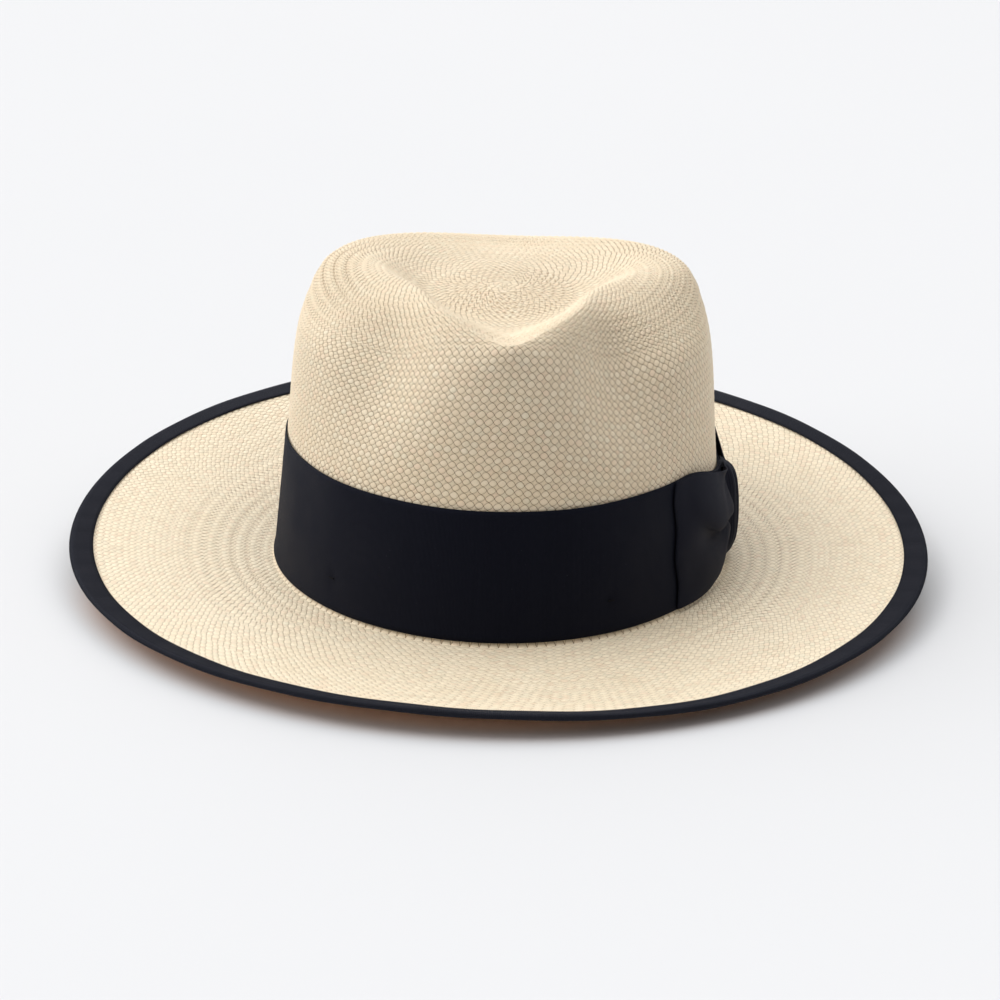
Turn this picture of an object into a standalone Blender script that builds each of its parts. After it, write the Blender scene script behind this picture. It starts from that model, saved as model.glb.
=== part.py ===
"""Panama hat: woven straw body, bound brim, ribbon band with a bow, and a sweatband.

Frame: +X is the bow side (the wearer's left), -Y is the front, +Z is up.
The origin is under the middle of the hat, on the plane its sweatband stands on.
"""
import math

import bmesh
import bpy
import numpy as np

MM = 0.001
TURNS = 48                    # stations around the hat, shared by every ring piece
CLEAR = 0.3 * MM              # gap between touching pieces

# head oval, outer face of the straw where crown and brim meet
HEAD_X = 85.6 * MM
HEAD_Y = 103.4 * MM
STRAW = 1.0 * MM
BREAK_Z = 4.4 * MM            # top of the straw at the foot of the crown, front and back
BREAK_RISE = 1.7 * MM         # the same line is this much higher at the sides
FOOT = 1.5 * MM               # small curve between brim and crown wall

# crown
WALL_LEAN = 0.083             # inward lean of the wall, as a slope
CREST_Z = 117.5 * MM
FRONT_DIP = 9.5 * MM          # how far the ridge drops to the point of the teardrop
BACK_DIP = 6.5 * MM
FLOOR_Z = 108.3 * MM
FLOOR_SLOPE = 0.085           # the sunken top falls towards the front
BUTTON_Z = 110.6 * MM
PINCH_LEFT = 0.075            # side pinches, as a part of the oval's radius
PINCH_RIGHT = 0.10
PINCH_AT = 41.0               # degrees either side of the front

# brim
EDGE_X = 163.1 * MM
EDGE_Y = 180.8 * MM
EDGE_MID = 17.1 * MM
EDGE_TIP = 11.2 * MM
EDGE_SADDLE = 2.95 * MM
EDGE_WAVE = 0.78 * MM
EDGE_DROP = 2.2 * MM          # the edge sags a little on one side of the front
EDGE_DROP_AT = 26.0           # degrees from the front
EDGE_CURL = 0.18              # slope of the brim at its edge
EDGE_CURL_ENDS = 0.12         # more at front and back, less at the sides

# ribbon folded over the brim's edge
BIND_WIDTH = 9.0 * MM
BIND_CLOTH = 0.3 * MM

# ribbon band and bow
BAND_HIGH = 47.2 * MM
BAND_CLOTH = 0.8 * MM
BAND_FOOT = 1.9 * MM          # the band's lower edge above the straw
BOW_HALF = 69.0 * MM          # knot to fold, along the band
BOW_CLOTH = 0.5 * MM
BOW_TALL = 23.6 * MM          # half height at the folds
BOW_WAIST = 16.5 * MM         # half height under the knot
KNOT_WIDE = 15.0 * MM
KNOT_CLOTH = 0.7 * MM

# sweatband
SWEAT_LOW = 4.2 * MM
SWEAT_TOP = 38.0 * MM
LEATHER = 0.9 * MM
TAPE = 0.4 * MM
REED_R = 0.7 * MM
TAPE_TOP = 11.0 * MM


def material(name, colour, rough):
    mat = bpy.data.materials.new(name)
    mat.use_nodes = True
    shader = mat.node_tree.nodes["Principled BSDF"]
    shader.inputs["Base Color"].default_value = (*colour, 1.0)
    shader.inputs["Roughness"].default_value = rough
    shader.inputs["Metallic"].default_value = 0.0
    mat.diffuse_color = (*colour, 1.0)
    return mat


def bell(angle, centre, width):
    """Smooth bump of height 1 at centre, in degrees."""
    return math.exp(-((angle - centre) / width) ** 2)


def station(step):
    """Oval parameter of an evenly spaced step around the head."""
    u = 2 * math.pi * step / TURNS
    lean = (HEAD_Y - HEAD_X) / (HEAD_Y + HEAD_X)
    return u - 0.5 * lean * math.sin(2 * u)


def from_front(t):
    """Angle from the front in degrees: negative on -X, positive on +X."""
    return (math.degrees(t) + 90 + 180) % 360 - 180


def break_z(t):
    return BREAK_Z + BREAK_RISE * math.cos(t) ** 2


def edge_z(t):
    return (EDGE_MID + EDGE_TIP * math.sin(t) - EDGE_SADDLE * math.cos(2 * t)
            + EDGE_WAVE * math.sin(3 * t) - EDGE_DROP * bell(from_front(t), EDGE_DROP_AT, 24))


def hermite(p0, d0, p1, d1, s):
    p0, d0, p1, d1 = (np.array(v, float) for v in (p0, d0, p1, d1))
    s2, s3 = s * s, s * s * s
    return ((2 * s3 - 3 * s2 + 1) * p0 + (s3 - 2 * s2 + s) * d0
            + (3 * s2 - 2 * s3) * p1 + (s3 - s2) * d1)


def wall_share(z):
    """Crown wall radius as a share of the head oval, at height z."""
    return 1 - WALL_LEAN * (z - BREAK_Z) / HEAD_X


def crown_keys(t):
    """Key points of one meridian, (share of the oval, height)."""
    a = from_front(t)
    side, back = abs(a), 180 - abs(a)
    pinch = PINCH_RIGHT if a > 0 else PINCH_LEFT
    press = pinch * bell(side, PINCH_AT, 20)
    shoulder_z = (94 + 7 * bell(a, 0, 15) - 11 * bell(side, PINCH_AT, 19)
                  - 5 * bell(back, 0, 40)) * MM
    shoulder = wall_share(shoulder_z) - 0.004 - press - 0.012 * bell(a, 0, 15)
    crest_z = CREST_Z - FRONT_DIP * bell(a, 0, 26) - BACK_DIP * bell(back, 0, 42)
    crest = 0.74 - 0.26 * bell(side, 57, 40) + 0.10 * bell(a, 0, 14)
    floor = 0.30
    floor_z = FLOOR_Z + FLOOR_SLOPE * floor * HEAD_Y * math.sin(t)
    foot_z = break_z(t) + FOOT
    band_z = 57 * MM
    return [(wall_share(foot_z), foot_z), (wall_share(band_z), band_z), (shoulder, shoulder_z),
            (crest, crest_z), (floor, floor_z), (0.0, BUTTON_Z)]


def crown_profile(t, counts=(4, 4, 5, 5, 4)):
    """Meridian of the crown from the foot to the button: shares and heights."""
    keys = crown_keys(t)
    scale = HEAD_X
    pts = [(k[0] * scale, k[1]) for k in keys]
    lean = WALL_LEAN
    tilt = FLOOR_SLOPE * math.sin(t) * HEAD_Y / scale
    rise = (pts[5][1] - pts[4][1]) / pts[4][0]
    down = [(-lean, 1), (-lean, 1), (-lean * 2.2, 1), (-1, 0), (-1, rise * 0.6), (-1, -tilt)]
    side = abs(from_front(t))
    bulge = 1.6 - 0.6 * bell(side, PINCH_AT, 18) - 0.6 * bell(side, 0, 16)
    out = [np.array(pts[0])]
    for i, n in enumerate(counts):
        span = math.dist(pts[i], pts[i + 1])
        reach = (1.0, 1.0, bulge, 1.1, 1.0)[i] * span
        d0 = np.array(down[i]) / np.linalg.norm(down[i]) * reach
        d1 = np.array(down[i + 1]) / np.linalg.norm(down[i + 1]) * reach
        out += [hermite(pts[i], d0, pts[i + 1], d1, (k + 1) / n) for k in range(n)]
    return [(p[0] / scale, p[1]) for p in out]


def brim_point(t, r):
    """Point on top of the brim: r = 0 at the crown, 1 at the straw's edge."""
    c, s = math.cos(t), math.sin(t)
    z0, z1 = break_z(t), edge_z(t)
    inner = np.array([(HEAD_X + FOOT) * c, (HEAD_Y + FOOT) * s])
    outer = np.array([EDGE_X * c, EDGE_Y * s])
    span = float(np.linalg.norm(outer - inner))
    mean = (z1 - z0) / span
    end = EDGE_CURL - EDGE_CURL_ENDS * math.cos(2 * t)
    start = (3 * mean - end) / 2
    z = hermite([z0], [start * span], [z1], [end * span], r)[0]
    plan = inner + (outer - inner) * r
    return np.array([plan[0], plan[1], z])


def brim_up(t, r):
    """Unit normal on top of the brim."""
    e = 1e-3
    along = brim_point(t + e, r) - brim_point(t - e, r)
    out = brim_point(t, r + e) - brim_point(t, r - e)
    n = np.cross(out, along)
    return n / np.linalg.norm(n)


def loft(name, rows, mat, coll, wrap=True, tip=None, thick=0.0, offset=0.0, loop=False):
    """Sheet through rows of points, given thickness by Solidify."""
    count = len(rows[0])
    verts = [tuple(p) for row in rows for p in row]
    faces = []
    last = len(rows) if loop else len(rows) - 1
    for i in range(last):
        a, b = i * count, ((i + 1) % len(rows)) * count
        for k in range(count if wrap else count - 1):
            m = (k + 1) % count
            faces.append((a + k, a + m, b + m, b + k))
    if tip is not None:
        verts.append(tuple(tip))
        top = (len(rows) - 1) * count
        faces += [(top + k, top + (k + 1) % count, len(verts) - 1) for k in range(count)]
    mesh = bpy.data.meshes.new(name)
    mesh.from_pydata(verts, [], faces)
    mesh.materials.append(mat)
    obj = bpy.data.objects.new(name, mesh)
    coll.objects.link(obj)
    if thick:
        shell = obj.modifiers.new("thickness", "SOLIDIFY")
        shell.thickness = thick
        shell.offset = offset
        shell.use_even_offset = True
    mesh.shade_smooth()
    mesh.set_sharp_from_angle(angle=math.radians(40))
    return obj


def ring_tube(name, points, radius, mat, coll):
    """Closed round cord through the points."""
    curve = bpy.data.curves.new(name, "CURVE")
    curve.dimensions = "3D"
    curve.bevel_depth = radius
    curve.bevel_resolution = 2
    curve.resolution_u = 1
    spline = curve.splines.new("POLY")
    spline.points.add(len(points) - 1)
    for node, p in zip(spline.points, points):
        node.co = (*p, 1.0)
    spline.use_cyclic_u = True
    curve.materials.append(mat)
    obj = bpy.data.objects.new(name, curve)
    coll.objects.link(obj)
    return obj


def oval_offset(t, share, grow):
    """Point on the head oval scaled by share, moved out by grow."""
    x, y = HEAD_X * share * math.cos(t), HEAD_Y * share * math.sin(t)
    n = np.array([HEAD_Y * math.cos(t), HEAD_X * math.sin(t)])
    n /= np.linalg.norm(n)
    return x + n[0] * grow, y + n[1] * grow


def wall_point(t, z, grow):
    x, y = oval_offset(t, wall_share(z), grow)
    return np.array([x, y, z])


def make_straw(mat, coll):
    turns = [station(k) for k in range(TURNS)]
    profiles = [crown_profile(t) for t in turns]
    rows = []
    for r in (1.0, 0.94, 0.8, 0.6, 0.4, 0.2, 0.07, 0.0):
        rows.append([brim_point(t, r) for t in turns])
    for k in range(len(profiles[0]) - 1):
        row = []
        for t, prof in zip(turns, profiles):
            share, z = prof[k]
            row.append((HEAD_X * share * math.cos(t), HEAD_Y * share * math.sin(t), z))
        rows.append(row)
    return loft("straw_body", rows, mat, coll, tip=(0, 0, BUTTON_Z), thick=STRAW, offset=-1)


def edge_frame(t):
    """Straw edge point on its mid plane, with outward and upward directions."""
    up = brim_up(t, 1.0)
    edge = brim_point(t, 1.0) - up * STRAW / 2
    e = 1e-3
    along = brim_point(t + e, 1.0) - brim_point(t - e, 1.0)
    out = np.cross(along / np.linalg.norm(along), up)
    return edge, out / np.linalg.norm(out), up


def make_binding(mat, coll):
    lift = STRAW / 2 + CLEAR + BIND_CLOTH / 2
    flat = BIND_WIDTH - lift - BIND_CLOTH / 2
    rows = []
    for way, where in ((-1, flat), (-1, flat * 0.5), (-1, 0.0)):
        rows.append((way, where))
    sections = []
    for k in range(TURNS):
        t = station(k)
        edge, out, up = edge_frame(t)
        span = np.linalg.norm(brim_point(t, 1.0) - brim_point(t, 0.0))
        line = []
        for way, where in rows:
            r = 1 - where / span
            line.append(brim_point(t, r) - brim_up(t, r) * STRAW / 2 + brim_up(t, r) * way * lift)
        for turn in (-70, -35, 0, 35, 70):
            a = math.radians(turn)
            line.append(edge + out * lift * math.cos(a) + up * lift * math.sin(a))
        for way, where in reversed(rows):
            r = 1 - where / span
            line.append(brim_point(t, r) - brim_up(t, r) * STRAW / 2 - brim_up(t, r) * way * lift)
        sections.append(line)
    rings = [[sec[i] for sec in sections] for i in range(len(sections[0]))]
    return loft("brim_binding", rings, mat, coll, thick=BIND_CLOTH)


def strip_turns(seam):
    """Stations from just after the seam step round to just before it."""
    near = 0.0016 * TURNS
    steps = [seam + near] + [seam + k for k in range(1, TURNS)] + [seam + TURNS - near]
    return [station(s) for s in steps]


def make_band(mat, coll):
    rows = []
    for share in (0.0, 0.5, 1.0):
        row = []
        for t in strip_turns(0):
            z = break_z(t) + BAND_FOOT + share * BAND_HIGH
            row.append(wall_point(t, z, CLEAR + BAND_CLOTH / 2))
        rows.append(row)
    return loft("hat_band", rows, mat, coll, wrap=False, thick=BAND_CLOTH)


def bow_point(along, high, stand):
    """Point over the band: arc distance from the knot, height from its middle, stand-off."""
    t = along / math.hypot(HEAD_X * 0.35, HEAD_Y * 0.95)
    z = break_z(t) + BAND_FOOT + BAND_HIGH / 2 + high
    return wall_point(t, z, CLEAR + BAND_CLOTH + stand)


def make_bow(mat, coll):
    """One ring of ribbon pressed flat, its two folds apart and its waist gathered."""
    low, fold = 0.65 * MM, 0.8 * MM
    held = KNOT_WIDE / 2 + 1.5 * MM
    stops = (0, 0.6, 1.0, 1.7, 2.6, 3.6, 4.6, 5.6, 6.4)
    reach = [held * s for s in stops if held * s < BOW_HALF - 3 * MM] + [BOW_HALF]
    spread = [-a for a in reversed(reach[1:])] + reach

    def open_share(along):
        return max(0.0, (abs(along) - held) / (BOW_HALF - held))

    route = []
    for along in spread:
        puff = 1.2 + 3.6 * math.sin(math.pi * open_share(along)) ** 1.2
        route.append((along, low + max(fold * 2, (puff + 0.4) * MM)))
    route.append((BOW_HALF + fold, low + fold))
    route += [(along, low) for along in reversed(spread)]
    route.append((-BOW_HALF - fold, low + fold))
    rows = []
    for along, stand in route:
        half = BOW_WAIST + (BOW_TALL - BOW_WAIST) * (1 - (1 - min(1.0, open_share(along))) ** 2.2)
        rows.append([bow_point(along, v * half, stand) for v in (-1, -0.5, 0, 0.5, 1)])
    return loft("bow_loops", rows, mat, coll, wrap=False, thick=BOW_CLOTH, loop=True)


def make_knot(mat, coll):
    """Short strap over the waist of the bow, its ends turned in to the band."""
    stand_mid = (0.65 + 1.6 + 0.25 + 0.3 + 0.35 + 0.2) * MM
    line = [(-23.4, 0.75), (-21.8, 0.95), (-20.0, 2.2), (-18.0, 3.2), (-9, 3.55), (0, 3.65),
            (9, 3.55), (18.0, 3.2), (20.0, 2.2), (21.8, 0.95), (23.4, 0.75)]
    rows = []
    for high, stand in line:
        waist = 1 - 0.22 * math.cos(high / 23.4 * math.pi / 2)
        row = []
        for w in (-1, -0.5, 0, 0.5, 1):
            swell = max(stand * MM, 0) if abs(high) > 19 else max(stand * MM, stand_mid)
            row.append(bow_point(w * KNOT_WIDE / 2 * waist, high * MM, swell))
        rows.append(row)
    return loft("bow_knot", rows, mat, coll, wrap=False, thick=KNOT_CLOTH)


def make_tack(name, t, mat, coll):
    """One short bar of thread that holds the band to the crown."""
    bpy.ops.mesh.primitive_cylinder_add(vertices=8, radius=0.3 * MM, depth=2.6 * MM)
    obj = bpy.context.object
    obj.name = name
    obj.data.name = name
    z = break_z(t) + BAND_FOOT + 11.5 * MM
    obj.location = wall_point(t, z, CLEAR + BAND_CLOTH + CLEAR + 0.3 * MM)
    out = math.atan2(HEAD_X * math.sin(t), HEAD_Y * math.cos(t))
    obj.rotation_euler = (math.radians(90), 0, out)
    obj.data.materials.append(mat)
    for home in obj.users_collection:
        home.objects.unlink(obj)
    coll.objects.link(obj)
    return obj


def make_sweatband(mat, coll):
    grow = -(STRAW + CLEAR + TAPE + CLEAR + LEATHER / 2)
    rows = []
    for share in (0.0, 0.5, 1.0):
        z = SWEAT_LOW + share * (SWEAT_TOP - SWEAT_LOW)
        rows.append([wall_point(t, z, grow) for t in strip_turns(TURNS // 4)])
    return loft("sweatband", rows, mat, coll, wrap=False, thick=LEATHER)


def make_reed_tape(mat, coll):
    """Woven tape that wraps the reed under the leather and runs up behind it."""
    back = -(STRAW + CLEAR + TAPE / 2)
    hub = TAPE / 2 + CLEAR + REED_R
    line = [(back, TAPE_TOP), (back, SWEAT_LOW), (back, 0.75 * MM), (back - 0.45 * MM, TAPE / 2),
            (back - 2 * hub + 0.45 * MM, TAPE / 2), (back - 2 * hub, 0.75 * MM),
            (back - 2 * hub, 2.6 * MM)]
    rows = [[wall_point(station(k), z, grow) for k in range(TURNS)] for grow, z in line]
    return loft("reed_tape", rows, mat, coll, thick=TAPE)


def make_reed(mat, coll):
    grow = -(STRAW + CLEAR + TAPE + CLEAR + REED_R)
    z = TAPE + CLEAR + REED_R
    points = [wall_point(station(k), z, grow) for k in range(TURNS)]
    return ring_tube("sweatband_reed", points, REED_R, mat, coll)


def main():
    for obj in list(bpy.data.objects):
        bpy.data.objects.remove(obj, do_unlink=True)
    coll = bpy.data.collections.new("panama_hat")
    bpy.context.scene.collection.children.link(coll)

    straw = material("straw", (0.84, 0.73, 0.55), 0.55)
    ribbon = material("ribbon", (0.008, 0.008, 0.011), 0.6)
    bow = material("bow_ribbon", (0.011, 0.011, 0.014), 0.55)
    binding = material("binding_ribbon", (0.02, 0.021, 0.026), 0.6)
    thread = material("thread", (0.01, 0.01, 0.013), 0.7)
    leather = material("leather", (0.30, 0.19, 0.11), 0.5)
    tape = material("tape", (0.62, 0.55, 0.44), 0.8)
    reed = material("reed", (0.8, 0.8, 0.78), 0.4)

    make_straw(straw, coll)
    make_binding(binding, coll)
    make_band(ribbon, coll)
    make_bow(bow, coll)
    make_knot(bow, coll)
    make_tack("band_tack_left", math.radians(-133), thread, coll)
    make_tack("band_tack_right", math.radians(-60), thread, coll)
    make_sweatband(leather, coll)
    make_reed_tape(tape, coll)
    make_reed(reed, coll)


main()
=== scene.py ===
"""Looks of the panama hat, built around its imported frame.

Lengths are in metres. +X is the bow side, -Y the front, +Z up. Angles t run round the head oval
from +X towards the back, and a "turn" is one whole trip round it.
"""
import math

import bpy
import numpy as np
from mathutils import Matrix, Vector


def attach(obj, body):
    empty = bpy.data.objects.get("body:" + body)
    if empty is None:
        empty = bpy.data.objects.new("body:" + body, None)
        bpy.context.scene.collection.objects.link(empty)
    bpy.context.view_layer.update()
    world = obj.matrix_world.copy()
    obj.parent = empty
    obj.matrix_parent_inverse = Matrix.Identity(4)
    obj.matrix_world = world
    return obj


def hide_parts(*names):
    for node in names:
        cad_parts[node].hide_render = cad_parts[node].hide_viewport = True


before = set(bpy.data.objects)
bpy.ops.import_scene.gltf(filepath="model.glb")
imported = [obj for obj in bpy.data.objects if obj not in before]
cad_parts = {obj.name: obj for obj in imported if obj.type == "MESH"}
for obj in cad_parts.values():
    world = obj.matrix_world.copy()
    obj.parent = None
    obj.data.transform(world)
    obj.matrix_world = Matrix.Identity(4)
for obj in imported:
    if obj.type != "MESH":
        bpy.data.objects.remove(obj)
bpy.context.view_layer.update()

MM = 0.001
rng = np.random.default_rng(7)

# the straw's sizes: the frame's, with the front of the top shaped a little more closely
CLEAR = 0.3 * MM              # gap between neighbouring pieces
HEAD_X, HEAD_Y = 85.6 * MM, 103.4 * MM
STRAW = 1.0 * MM
BREAK_Z, BREAK_RISE = 4.4 * MM, 1.7 * MM
FOOT = 1.5 * MM               # size of the roll between brim and wall
WALL_LEAN = 0.083
STRAIGHT_Z = 57 * MM          # the wall is straight up to here
# the shoulder under the crest, in mm: its height, and what changes it in front, at the pinches, behind
SHOULDER, SHOULDER_FRONT, SHOULDER_PINCH, SHOULDER_BACK = 95, 6, 10, 5
CREST_Z = 116.6 * MM
FRONT_DIP, BACK_DIP = 4.8 * MM, 6.5 * MM
FLOOR_Z, FLOOR_SLOPE = 108.3 * MM, 0.085
FLOOR_SHARE = 0.30            # size of the sunken top's flat middle, as a share of the oval
BUTTON_Z = 110.6 * MM
PINCH_LEFT, PINCH_RIGHT, PINCH_AT = 0.08, 0.11, 37.0
PINCH_SHIFT = 3.2             # degrees the front of the teardrop sits off the middle, to the right
# the ridge round the teardrop in plan: degrees from the front, share of the oval
RIDGE = ((-10, 0, 10, 18, 33, 51, 84, 103, 122, 180),
         (0.775, 0.858, 0.775, 0.71, 0.58, 0.48, 0.535, 0.655, 0.745, 0.765))
RIDGE_KEEN = 0.22             # how much of a fold it is in front
EDGE_X, EDGE_Y = 163.1 * MM, 180.8 * MM
EDGE_MID, EDGE_TIP = 17.1 * MM, 11.2 * MM
EDGE_SADDLE, EDGE_WAVE = 2.95 * MM, 0.78 * MM
EDGE_DROP, EDGE_DROP_AT = 2.2 * MM, 26.0
EDGE_CURL, EDGE_CURL_ENDS = 0.18, 0.12

# the ribbons' sizes
BIND_WIDTH, BIND_FLAT, BIND_LONG = 9.0 * MM, 0.0195, 1.083
BIND_CLOTH, BIND_RIPPLE = 0.3 * MM, 0.10 * MM
BAND_HIGH, BAND_LONG = 47.2 * MM, 0.602
BAND_CLOTH, BAND_FOOT, BAND_RIPPLE = 0.8 * MM, 1.9 * MM, 0.12 * MM
BAND_THIN = 0.55 * MM         # the band's cloth as it shows, in the middle of BAND_CLOTH
BAND_FLARE, FLARE_HIGH = 0.4 * MM, 1.6 * MM     # its lower edge turns out over the straw
BOW_HALF, BOW_LONG = 69.0 * MM, 0.282
BOW_TALL, BOW_CLOTH = 23.8 * MM, 0.4 * MM
KNOT_WIDE, KNOT_LONG = 15.0 * MM, 0.051
KNOT_ROUND = 2.2              # mm the knot's sides bend down round the gathered cloth
# how far the knot draws the cloth down, before and behind it, and how far up from below
GATHER_TOP, GATHER_BACK = 8.8 * MM, 13.5 * MM
GATHER_LOW = 2.5 * MM
# fully so this near the knot, and not at all this far before and behind it
GATHER_NEAR = 12.0 * MM
GATHER_FAR, GATHER_FAR_BACK = 60.0 * MM, 44.0 * MM

# weave; courses run from 0 at the brim's edge over 1 at the crown's foot to 2 at the button
ROW = 2.64 * MM               # one row of pebbles along a meridian
CROWN_CELLS = 173             # pebbles round the crown's foot
FINE = 4                      # mesh steps per pebble on the outside
COARSE = 2                    # and on the inside
PEBBLE_GROW = 0.058           # the round pebbles push the diamonds between them back
CROWN_RELIEF, BRIM_RELIEF = 0.55 * MM, 0.5 * MM
MIDDLE_HIGH = 0.72            # pebble height that lies on the straw's face
STRAND_PULL = 0.075           # how uneven the strands lie, in cells
ROLL_OPEN, ROLL_AT, ROLL_WIDE = 0.9, 1.62, 0.07    # the weave stands out more on the roll of the crest
TOP_CALM, TOP_FROM, TOP_TO = 0.40, 1.70, 1.80      # and is pressed smoother on the sunken top
ROW_WAVE = 0.22               # rows wander this many rows up and down
ROW_TILT = 2.5                # rows run this many rows down and up once round the hat
ROW_LEAN = 0.16               # the columns lean a little as they go up
RING_REACH = 0.5              # rows a ring mark fades over
# belts of the brim: mm from the crown where each ends, cells round it, how much the ring there shows
BRIM_RINGS = ((52, 276, 0), (40, 258, 0.3), (33, 244, 0.6), (27, 232, 1), (21.5, 220, 1),
              (16, 208, 1), (10.5, 197, 1), (5, 186, 0.8), (0, CROWN_CELLS, 0))
# rings of the crown: course and how much each shows, over the humps, down into the top, in the rosette
CROWN_RINGS = ([(1.555 + 0.025 * k, 0.9) for k in range(6)]
               + [(1.71, 0.25), (1.75, 0.25), (1.79, 0.25), (1.825, 0.8)]
               + [(1.857 + 0.0205 * k, 0.8) for k in range(6)])
TOP_CELLS = 2.3               # how fast the cells grow in number away from the button

# ribbon
FINE_RIB = 0.5 * MM           # ribs of the band and bow
EDGE_RIB = 0.65 * MM          # ribs of the binding
EDGE_RIB_HIGH = 0.14 * MM
THREAD = 0.5 * MM             # threads along the ribbon
DIMPLES = ((-133.0, 11.5 * MM), (-60.0, 11.5 * MM))   # where thread pulls the band in: degrees, height
DIMPLE_DEEP, DIMPLE_WIDE = 0.35 * MM, 3 * MM

# looks of the straw: tone over its cream, depth of the lines and of the ring dashes, relief. It is one
# straw in a shaded and a lit copy: the crown's tone is darker and warmer as painted shade, the brim's
# lighter with fainter lines and dashes as painted light
CROWN_LOOK_SHADED = ((0.94, 0.912, 0.89), 0.95, 0.90, 0.36 * MM)
BRIM_LOOK_LIT = ((1.08, 1.09, 1.11), 0.62, 0.58, 0.24 * MM)
# looks of the ribbons: dark and bright
BAND_BLACK = ((0.0022, 0.0025, 0.0048), (0.0052, 0.0056, 0.0098))
BOW_BLACK = ((0.0034, 0.0038, 0.0072), (0.0078, 0.0084, 0.0140))
BIND_NAVY = ((0.010, 0.0105, 0.014), (0.020, 0.021, 0.027))

# camera: degrees to the right of the front, up and rolled, then metres and mm
VIEW_AZIMUTH, VIEW_ELEVATION, VIEW_ROLL = 1.5, 18, 1.35
VIEW_DISTANCE, VIEW_TARGET = 1.3, (0, 0, 0.0258)
LENS, SENSOR = 121.68, 36
CLIP_START, CLIP_END = 0.05, 50
# suns: name, direction towards it, degrees it spreads over, power, colour
SUNS = (("top", (-0.22, 0.53, 1.0), 100, 2.5, (1.0, 0.985, 0.96)),
        ("key", (-1.3, 0.0, 0.9), 80, 0.93, (1.0, 0.98, 0.95)),
        ("front", (-1.0, -0.24, 0.7), 60, 0.74, (1.0, 0.98, 0.95)),
        ("fill", (1.3, 0.0, 0.8), 80, 0.52, (1, 1, 1)))
SKY, SKY_POWER = (1.0, 0.96, 0.90), 0.245
STAGE_HALF = 6.0
STAGE_PALE = ((0.682, 0.700, 0.738), (0.700, 0.718, 0.756))
# warm light painted on the floor under the front of the brim, in place of light through the straw
STAGE_PAINTED_GLOW = (0.99, 0.72, 0.60)


# ---------------------------------------------------------------- shape of the straw

def bell(x, centre, width):
    """Bell curve of x: 1 at its centre, fading over its width."""
    return np.exp(-((x - centre) / width) ** 2)


def from_front(t):
    """Degrees from the front: negative on -X, positive on +X."""
    return (np.degrees(t) + 270) % 360 - 180


def oval_angle(turn):
    """Oval parameter of a share of one trip round the head, from the back seam."""
    u = 2 * np.pi * (turn + 0.25)
    lean = (HEAD_Y - HEAD_X) / (HEAD_Y + HEAD_X)
    return u - 0.5 * lean * np.sin(2 * u)


def break_z(t):
    return BREAK_Z + BREAK_RISE * np.cos(t) ** 2


def edge_z(t):
    return (EDGE_MID + EDGE_TIP * np.sin(t) - EDGE_SADDLE * np.cos(2 * t)
            + EDGE_WAVE * np.sin(3 * t) - EDGE_DROP * bell(from_front(t), EDGE_DROP_AT, 24))


def hermite(p0, d0, p1, d1, s):
    s2, s3 = s * s, s * s * s
    return ((2 * s3 - 3 * s2 + 1) * p0 + (s3 - 2 * s2 + s) * d0
            + (3 * s2 - 2 * s3) * p1 + (s3 - s2) * d1)


def soft_curve(x, xs, ys):
    """Smooth curve through a few points."""
    xs, ys = np.asarray(xs, float), np.asarray(ys, float)
    slopes = np.gradient(ys, xs)
    k = np.clip(np.searchsorted(xs, x) - 1, 0, len(xs) - 2)
    width = xs[k + 1] - xs[k]
    return hermite(ys[k], slopes[k] * width, ys[k + 1], slopes[k + 1] * width, (x - xs[k]) / width)


def ease(x, low, high):
    """Smooth step of x from low to high."""
    f = np.clip((x - low) / (high - low), 0, 1)
    return f * f * (3 - 2 * f)


def wall_share(z):
    return 1 - WALL_LEAN * (z - BREAK_Z) / HEAD_X


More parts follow.
